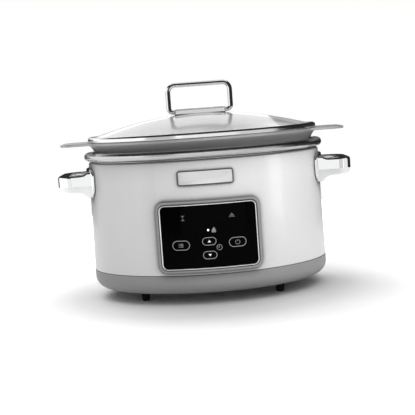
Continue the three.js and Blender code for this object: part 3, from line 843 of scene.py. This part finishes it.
def side_loop_mesh(side):
    box_low, box_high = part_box("side_handle_right")
    reach, centre_z = box_high[0], (box_low[2] + box_high[2]) / 2
    half_bar = 6 * MM
    half_width = 43 * MM - half_bar
    tip = reach - half_bar
    root_x = 160 * MM
    corner = 15.5 * MM
    path = fillet([
        (root_x, -half_width, 0), (tip, -half_width, corner), (tip, half_width, corner),
        (root_x, half_width, 0),
    ], closed=False, steps=14)
    fine = []
    for (x0, y0), (x1, y1) in zip(path, path[1:]):
        pieces = max(1, round(math.hypot(x1 - x0, y1 - y0) / (2.5 * MM)))
        fine += [(x0 + (x1 - x0) * k / pieces, y0 + (y1 - y0) * k / pieces) for k in range(pieces)]
    fine.append(path[-1])
    rings = []
    for i, (x, y) in enumerate(fine):
        ahead = Vector(fine[min(i + 1, len(fine) - 1)]) - Vector(fine[max(i - 1, 0)])
        across = Vector((ahead.y, -ahead.x, 0)).normalized()
        outward = max(0.0, (x - GRIP_START) / (reach - GRIP_START))
        above = HALF_GRIP - 0.6 * MM * outward + 3.5 * MM * flare(x, 10 * MM)
        below = HALF_GRIP - 2.6 * MM * outward + 7.5 * MM * flare(x, 15 * MM)
        rings.append(grip_section(Vector((x, y, centre_z)), across, half_bar, above, below))
    first, last = ([sum(ring, Vector()) / len(ring)] for ring in (rings[0], rings[-1]))
    loop = sweep_rings("loop", [first, *rings, last], False)

    outline = rounded_rectangle(94 * MM, 40 * MM, 12 * MM, (0, centre_z))
    plate = plate_mesh("root", outline, [], 3.8 * MM, 1.5 * MM, 4)
    slice_mesh(plate, 3 * MM)
    for vertex in plate.vertices:
        y, z, depth = vertex.co
        vertex.co = (side_x(y, z, PLATE_CLEARANCE + depth), y, z)
    both = join_meshes("side_handle", [loop, plate])
    if side < 0:
        both.transform(Matrix.Rotation(math.pi, 4, "Z"))
    return both


def build_side_handles():
    for name, side in (("left", -1), ("right", 1)):
        place(f"handle_{name}", side_loop_mesh(side), CHROME, BASE, [f"side_handle_{name}"])


# ---- control panel ----
KEY_NAMES = ("menu", "up", "down", "power")
PANEL_OUT = 4.0 * MM
TRIM_OUT = 4.3 * MM
FACE_OUT = 3.4 * MM
KEY_OUT = 3.6 * MM


def key_place(name):
    """Centre and size of a key's visible face."""
    flange = 1.1 * MM
    lower, upper = low(f"key_{name}"), high(f"key_{name}")
    centre = ((lower.x + upper.x) / 2, (lower.z + upper.z) / 2)
    return centre, upper.x - lower.x - 2 * flange, upper.z - lower.z - 2 * flange


def build_panel():
    centre = (0, PANEL_CENTRE)
    frame_size = size("control_frame")
    opening = rounded_rectangle(*PANEL_OPENING, PANEL_CORNER, centre)
    outline = rounded_rectangle(frame_size.x, frame_size.z, 11 * MM, centre)
    front = front_mesh("front", outline, [opening], PLATE_CLEARANCE, PANEL_OUT, 1.5 * MM)
    collar_outline = rounded_rectangle(
        PANEL_OPENING[0] + 2.4 * MM, PANEL_OPENING[1] + 2.4 * MM, 9.2 * MM, centre)
    collar = front_mesh("collar", collar_outline, [opening], -6 * MM, 1 * MM, 0.1 * MM)
    place("panel_frame", join_meshes("panel_frame", [front, collar]), GREY_PLASTIC, BASE,
          ["control_frame"])

    trim_size, face_size = size("control_trim"), size("control_face")
    trim_outline = rounded_rectangle(trim_size.x, trim_size.z, 7.6 * MM, centre)
    face_gap = rounded_rectangle(face_size.x + 0.8 * MM, face_size.z + 0.8 * MM, 6.2 * MM, centre)
    place("panel_trim", front_mesh("panel_trim", trim_outline, [face_gap], 0.8 * MM, TRIM_OUT, 0.6 * MM),
          TRIM_METAL, BASE, ["control_trim"])

    holes = []
    for name in KEY_NAMES:
        key_centre, width, height = key_place(name)
        holes.append(stadium(width + 0.7 * MM, height + 0.7 * MM, key_centre))
    lamp = middle("status_lamp")
    holes.append(circle(1.7 * MM, (lamp.x, lamp.z)))
    face_outline = rounded_rectangle(face_size.x, face_size.z, 5.8 * MM, centre)
    place("panel_face", front_mesh("panel_face", face_outline, holes, 1 * MM, FACE_OUT, 0.25 * MM),
          PANEL_BLACK, BASE, ["control_face"])
    lens_radius, lens_length = 1.2 * MM, 13.2 * MM
    lens = fillet([
        (0, 0, 0), (lens_radius, 0, 0), (lens_radius, lens_length, 0.6 * MM), (0, lens_length, 0),
    ], closed=False, steps=8)
    back = Vector((lamp.x, high("status_lamp").y, lamp.z))
    place("lamp", turned_mesh("lamp", lens, (0, -1, 0), back, closed=False, steps=24),
          LAMP_GLOW, BASE, ["status_lamp"])


def symbol_mesh(shapes, stand_off):
    """Thin raised shapes on the panel: each is an outline with its holes."""
    meshes = [front_mesh("symbol", outline, holes, stand_off, stand_off + 0.06 * MM, 0.005 * MM, 2 * MM)
              for outline, holes in shapes]
    return join_meshes("symbols", meshes)


def bar(width, height, x, z):
    return ([(x - width / 2, z - height / 2), (x + width / 2, z - height / 2),
             (x + width / 2, z + height / 2), (x - width / 2, z + height / 2)], [])


def key_symbol(name, x, z):
    """Plain, generic pictures for the keys."""
    if name == "menu":
        thickness = 0.9 * MM
        rows = [z - 1.9 * MM, z, z + 1.9 * MM]
        dots = [bar(1.1 * MM, thickness, x - 2.6 * MM, row) for row in rows]
        lines = [bar(3.8 * MM, thickness, x + 0.9 * MM, row) for row in rows]
        return dots + lines
    if name in ("up", "down"):
        point = 1.8 * MM if name == "up" else -1.8 * MM
        half, base = 2.2 * MM, z - point * 0.8
        return [([(x - half, base), (x + half, base), (x, z + point)], [])]
    gap_start, gap_end = 120, 420
    ring = arc((x, z), 3.3 * MM, gap_start, gap_end, 24)
    inner = arc((x, z), 2.7 * MM, gap_end, gap_start, 24)
    return [([*ring, *inner], []), bar(0.6 * MM, 2.8 * MM, x, z + 2.0 * MM)]


def build_keys():
    for name in KEY_NAMES:
        centre, width, height = key_place(name)
        body = f"{name}_key"
        cap = front_mesh("cap", stadium(width, height, centre), [], -1 * MM, KEY_OUT, 0.35 * MM)
        flange = front_mesh("flange", stadium(width + 2.2 * MM, height + 2.2 * MM, centre), [],
                            -2 * MM, 0.2 * MM, 0.1 * MM)
        place(f"{name}_cap", join_meshes("key", [cap, flange]), PANEL_BLACK, body,
              [f"key_{name}"])
        margin = 0.7 * MM
        line = 0.95 * MM
        ring = (stadium(width - 2 * margin, height - 2 * margin, centre),
                [stadium(width - 2 * (margin + line), height - 2 * (margin + line), centre)])
        place(f"{name}_outline", symbol_mesh([ring], KEY_OUT), KEY_PRINT, body)
        ink = KEY_SYMBOL if name in ("up", "down") else KEY_PRINT
        picture = symbol_mesh(key_symbol(name, *centre), KEY_OUT)
        place(f"{name}_picture", picture, ink, body)


def build_face_symbols():
    lamp = middle("status_lamp")
    left_x, right_x, upper_z = lamp.x - 33 * MM, lamp.x + 33 * MM, lamp.z + 18 * MM
    half, tall = 2.6 * MM, 3.6 * MM
    hourglass = [
        ([(left_x - half, upper_z + tall), (left_x, upper_z), (left_x + half, upper_z + tall)], []),
        ([(left_x - half, upper_z - tall), (left_x + half, upper_z - tall), (left_x, upper_z)], []),
    ]
    cloche = [
        (arc((right_x, upper_z - 1 * MM), 3 * MM, 0, 180, 14), []),
        bar(8.4 * MM, 0.9 * MM, right_x, upper_z - 2 * MM),
        (circle(0.7 * MM, (right_x, upper_z + 2.6 * MM), 12), []),
    ]
    flame_x = lamp.x + 7.4 * MM
    flame = [
        ([(flame_x - 2.6 * MM, lamp.z - 3.2 * MM), (flame_x + 2.6 * MM, lamp.z - 3.2 * MM),
          (flame_x + 3 * MM, lamp.z), (flame_x + 0.6 * MM, lamp.z + 4 * MM),
          (flame_x - 1.2 * MM, lamp.z + 2.4 * MM), (flame_x - 2.8 * MM, lamp.z)], []),
    ]
    up_centre, _, _ = key_place("up")
    down_centre, _, _ = key_place("down")
    clock_x, clock_z = up_centre[0] + 13.2 * MM, (up_centre[1] + down_centre[1]) / 2 + 0.4 * MM
    clock = [
        (circle(3.9 * MM, (clock_x, clock_z)), [circle(3.15 * MM, (clock_x, clock_z))]),
        bar(0.7 * MM, 2.6 * MM, clock_x, clock_z + 1.0 * MM),
        bar(2.0 * MM, 0.7 * MM, clock_x - 0.9 * MM, clock_z),
    ]
    for name, shapes, ink in (
            ("dim_symbols", hourglass + cloche, DIM_PRINT),
            ("flame_symbol", flame, SYMBOL_PRINT),
            ("clock_symbol", clock, SYMBOL_PRINT)):
        place(name, symbol_mesh(shapes, FACE_OUT), ink, BASE)


def build_badge():
    badge = size("badge_plate")
    centre = (0, middle("badge_plate").z)
    corner = 3 * MM
    border = 1.1 * MM
    outline = rounded_rectangle(badge.x, badge.z, corner, centre)
    face = rounded_rectangle(badge.x - 2 * border, badge.z - 2 * border, corner - border, centre)
    rim = front_mesh("badge_rim", outline, [face], PLATE_CLEARANCE, 1.7 * MM, 0.3 * MM)
    plate = front_mesh("badge_face", face, [], PLATE_CLEARANCE, 1.5 * MM, 0.25 * MM)
    place("badge", plate, BADGE_STEEL, BASE, ["badge_plate"])
    place("badge_border", rim, BADGE_BORDER, BASE)


# ---- underside ----
def build_feet():
    for end in ("front", "rear"):
        for side in ("left", "right"):
            node = f"foot_{end}_{side}"
            top = high(node).z
            bore, recess_radius, recess = 2.3 * MM, 3.9 * MM, 5.2 * MM
            foot = fillet([
                (bore, recess, 0.2 * MM), (recess_radius, recess, 0.2 * MM),
                (recess_radius, 0, 0.3 * MM), (5.2 * MM, 0, 1 * MM), (6.6 * MM, top, 0.5 * MM),
                (bore, top, 0.2 * MM),
            ])
            place(f"rubber_{end}_{side}", turned_mesh("foot", foot, (0, 0, 1), on_plan(node)),
                  RUBBER, BASE, [node])


def build_cover():
    plate_low = low("bottom_cover").z
    radius = high("bottom_cover").x
    thickness = 1.6 * MM
    depth = half_depth(radius)
    steps = 160
    angles = [2 * math.pi * i / steps for i in range(steps)]
    outline = [(radius * math.cos(a), depth * math.sin(a)) for a in angles]
    holes = []
    for side in (-1, 1):
        for x in (58 * MM, 67 * MM, 76 * MM, 85 * MM):
            holes.append(rounded_rectangle(4 * MM, 34 * MM, 1.9 * MM, (side * x, -20 * MM)))
        screw = middle(f"cover_screw_{'left' if side < 0 else 'right'}")
        holes.append(circle(2.2 * MM, (screw.x, screw.y)))
    mesh = plate_mesh("cover", outline, holes, thickness, 0.4 * MM)
    mesh.transform(Matrix.Translation((0, 0, plate_low)))
    place("cover", mesh, PLATED_STEEL, BASE, ["bottom_cover"])


def build_gland():
    inner, outer = low("cord_gland").y, high("cord_gland").y
    centre = Vector((middle("cord_gland").x, 0, middle("cord_gland").z))
    face = HALF_DEPTH - (HALF_WIDTH - high("base_skirt").x) + 0.4 * MM
    bore, neck, flange = 3.4 * MM, 6.2 * MM, 9.5 * MM
    profile = fillet([
        (bore, inner, 0.3 * MM), (neck, inner, 0.4 * MM), (neck, face, 0),
        (flange, face, 0.5 * MM), (flange, face + 1.6 * MM, 0.7 * MM), (6.5 * MM, outer, 0.5 * MM),
        (bore, outer, 0.6 * MM),
    ])
    place("gland", turned_mesh("gland", profile, (0, 1, 0), centre), BLACK_PLASTIC, BASE,
          ["cord_gland"])


# ---- better materials on the CAD pieces that stay ----
SLOT_MATERIALS = {
    "white_painted_steel": WHITE_PAINT,
    "grey_plastic": GREY_PLASTIC,
    "brushed_steel": RIM_STEEL,
    "chrome": CHROME,
    "coated_aluminium": COATED_METAL,
    "bare_aluminium": BARE_METAL,
    "steel": PLATED_STEEL,
    "lid_glass": GLASS,
    "black_gloss_plastic": PANEL_BLACK,
    "black_plastic": BLACK_PLASTIC,
    "circuit_board": CIRCUIT_BOARD,
    "white_plastic": WHITE_PLASTIC,
    "mica_band": MICA,
    "red_lead": RED_SLEEVE,
    "brass": BRASS,
    "rubber": RUBBER,
}


def finish_cad_nodes():
    for entry in frame["record"]["subparts"]:
        node = frame["nodes"][entry["node"]]
        for place_in_list in node.material_slots:
            place_in_list.material = SLOT_MATERIALS[entry["material_slot"]]


# ---- floor, light and camera ----
ROOM_GLOW = 0.5
REFLECTED_ROOM = 0.03
FLOOR_GLOW = 1.1
FLOOR_RADIUS = 1.1
FLOOR_STEPS = 128
LIGHT_AIM = Vector((0, 0, 0.12))
LIGHT_DISTANCE = 1.8
CAMERA_AIM = Vector((0.0009, 0, 0.1174))
CAMERA_DISTANCE = 1.417
CAMERA_AZIMUTH = -0.27
CAMERA_ELEVATION = 6.33
CAMERA_ROLL = math.radians(4.05)
CAMERA_LENS = 83.7
CAMERA_SENSOR = 36


def build_stage():
    edge = [(x, y, 0) for x, y in circle(FLOOR_RADIUS, steps=FLOOR_STEPS)]
    s = Surface("floor_white", Emission_Color=WHITE)
    s.colour(s.blend(s.noise(3), grey(0.85), grey(0.87)))
    s.roughness(s.span(s.noise(20), 0.5, 0.6))
    s.glow_outwards(FLOOR_GLOW)
    add_object("floor", mesh_from("floor", edge, [range(FLOOR_STEPS)]), s.material)

    world = bpy.data.worlds.new("studio")
    bpy.context.scene.world = world
    world.use_nodes = True
    nodes, links = world.node_tree.nodes, world.node_tree.links
    background = nodes["Background"]
    plain = nodes.new("ShaderNodeBackground")
    for shader in (background, plain):
        shader.inputs["Color"].default_value = WHITE
    rays = nodes.new("ShaderNodeLightPath")
    mix = nodes.new("ShaderNodeMixShader")
    dimmer = nodes.new("ShaderNodeMapRange")
    dimmer.inputs["To Min"].default_value = ROOM_GLOW
    dimmer.inputs["To Max"].default_value = REFLECTED_ROOM
    links.new(rays.outputs["Is Glossy Ray"], dimmer.inputs["Value"])
    links.new(dimmer.outputs["Result"], background.inputs["Strength"])
    links.new(rays.outputs["Is Camera Ray"], mix.inputs["Fac"])
    links.new(background.outputs["Background"], mix.inputs[1])
    links.new(plain.outputs["Background"], mix.inputs[2])
    links.new(mix.outputs["Shader"], nodes["World Output"].inputs["Surface"])


def direction_to(azimuth, elevation):
    """Unit vector from degrees: azimuth 0 is the front and 90 the right-hand side."""
    a, e = math.radians(azimuth), math.radians(elevation)
    return Vector((math.sin(a) * math.cos(e), -math.cos(a) * math.cos(e), math.sin(e)))


def add_light(name, azimuth, elevation, width, height, power, distance=LIGHT_DISTANCE):
    light = bpy.data.lights.new(name, "AREA")
    light.shape = "RECTANGLE"
    light.size = width
    light.size_y = height
    light.energy = power
    holder = bpy.data.objects.new(name, light)
    outward = direction_to(azimuth, elevation)
    holder.location = LIGHT_AIM + outward * distance
    holder.rotation_euler = (-outward).to_track_quat("-Z", "Y").to_euler()
    holder.visible_camera = False
    bpy.context.collection.objects.link(holder)
    return holder


def add_lamp(name, azimuth, elevation, width, height, power):
    """A softbox that lights the matt side of the surfaces and isn't mirrored in them."""
    lamp = add_light(name, azimuth, elevation, width, height, power)
    lamp.visible_glossy = False
    return lamp


def add_card(name, azimuth, elevation, width, height, glow, distance=LIGHT_DISTANCE):
    """A white card that is only mirrored."""
    power = glow * math.pi * width * height
    card = add_light(name, azimuth, elevation, width, height, power, distance)
    card.visible_diffuse = False
    card.visible_transmission = False
    return card


def add_flag(name, azimuth, distance, width, height):
    """An upright black board that is only mirrored."""
    outward = direction_to(azimuth, 0)
    sideways = Vector((-outward.y, outward.x, 0)) * width / 2
    foot = outward * distance
    top = Vector((0, 0, height))
    corners = [foot - sideways, foot + sideways, foot + sideways + top, foot - sideways + top]
    s = Surface("flag_black")
    s.colour(s.blend(s.noise(4), grey(0.004), grey(0.008)))
    s.roughness(s.span(s.noise(20), 0.8, 0.9))
    flag = add_object(name, mesh_from(name, corners, [range(len(corners))]), s.material)
    for kind in ("camera", "diffuse", "shadow", "transmission"):
        setattr(flag, f"visible_{kind}", False)


def limit_light(state, names, *lights):
    """Lights only the named objects (INCLUDE) or all the others (EXCLUDE)."""
    receivers = bpy.data.collections.new("receivers")
    for name in names:
        receivers.objects.link(bpy.data.objects[name])
    for item in receivers.collection_objects:
        item.light_linking.link_state = state
    for light in lights:
        light.light_linking.receiver_collection = receivers


def build_lights():
    """Lamps and cards: azimuth, elevation, width and height, then power or glow, then distance."""
    add_lamp("lamp_back_left", -140, 40, 1.0, 0.8, 11)
    add_lamp("lamp_top", 180, 78, 1.7, 1.2, 5.6)
    add_flag("flag_right", 105, 0.6, 1.1, 0.9)
    limit_light(
        "EXCLUDE", ["floor"],
        add_lamp("lamp_front_right", 40, 40, 0.8, 0.8, 10.5),
        add_lamp("lamp_right", 75, 30, 0.6, 0.8, 6.5),
        add_lamp("lamp_top_front", 0, 66, 0.9, 0.6, 5.6))
    limit_light("INCLUDE", ["floor"], add_lamp("lamp_floor", 160, 84, 3.0, 2.2, 24))
    limit_light(
        "EXCLUDE", ["lid_loop", "lid_block"],
        add_card("card_front", 5, 8, 1.65, 1.3, 1.0),
        add_card("card_front_right", 52, 6, 1.4, 1.3, 0.7),
        add_card("card_left", -86, 6, 2.9, 1.4, 1.2))
    limit_light(
        "EXCLUDE", ["handle_left", "handle_right"],
        add_card("card_back", -155, 27, 2.4, 1.0, 1.0))
    for receivers, cards in (
            (["panel_trim", "badge"], [("card_low", 0, 0, 1.4, 0.22, 1.1, 0.7)]),
            (["lid_band", "rim_ring"], [("card_gap", -34, 6, 1.1, 1.3, 0.55)]),
            (["handle_left"], [("card_handle_left", -36, -4, 1.0, 1.1, 0.95)]),
            (["handle_right"], [("card_handle_right", 78, 0, 0.26, 0.5, 0.9, 0.5)]),
            (["dome"], [("card_dome_right", 136, 24, 1.8, 1.4, 0.55),
                        ("card_dome_far", 176, 12, 1.6, 0.6, 0.35)]),
            (["lid_loop"], [("card_loop_left", -78, 4, 2.6, 1.6, 1.0, 1.2),
                            ("card_loop_top", 180, 80, 2.4, 2.2, 0.75)]),
            (["lid_block"], [("card_block_front", 0, 8, 2.6, 1.3, 0.75),
                             ("card_block_back", 180, 48, 2.6, 3.2, 1.1)]),
            (["shell"], [("card_right", 66, 0, 0.9, 1.1, 4.2)])):
        limit_light("INCLUDE", receivers, *(add_card(*card) for card in cards))


def build_camera():
    data = bpy.data.cameras.new("camera")
    data.sensor_width = CAMERA_SENSOR
    data.lens = CAMERA_LENS
    camera = bpy.data.objects.new("camera", data)
    bpy.context.collection.objects.link(camera)
    backward = direction_to(CAMERA_AZIMUTH, CAMERA_ELEVATION)
    right = (-backward).cross(Vector((0, 0, 1))).normalized()
    up = right.cross(-backward)
    rolled_right = right * math.cos(CAMERA_ROLL) - up * math.sin(CAMERA_ROLL)
    rolled_up = right * math.sin(CAMERA_ROLL) + up * math.cos(CAMERA_ROLL)
    turn = Matrix((rolled_right, rolled_up, backward)).transposed().to_4x4()
    camera.matrix_world = Matrix.Translation(CAMERA_AIM + backward * CAMERA_DISTANCE) @ turn
    bpy.context.scene.camera = camera


for build in (
        build_shell, build_skirt, build_ring, build_well, build_pot, build_glass, build_lid_rim,
        build_lid_handle, build_lid_fixings, build_side_handles, build_panel, build_keys,
        build_face_symbols, build_badge, build_feet, build_cover, build_gland, finish_cad_nodes,
        build_stage, build_lights, build_camera):
    build()
bpy.context.scene.view_settings.view_transform = "Standard"
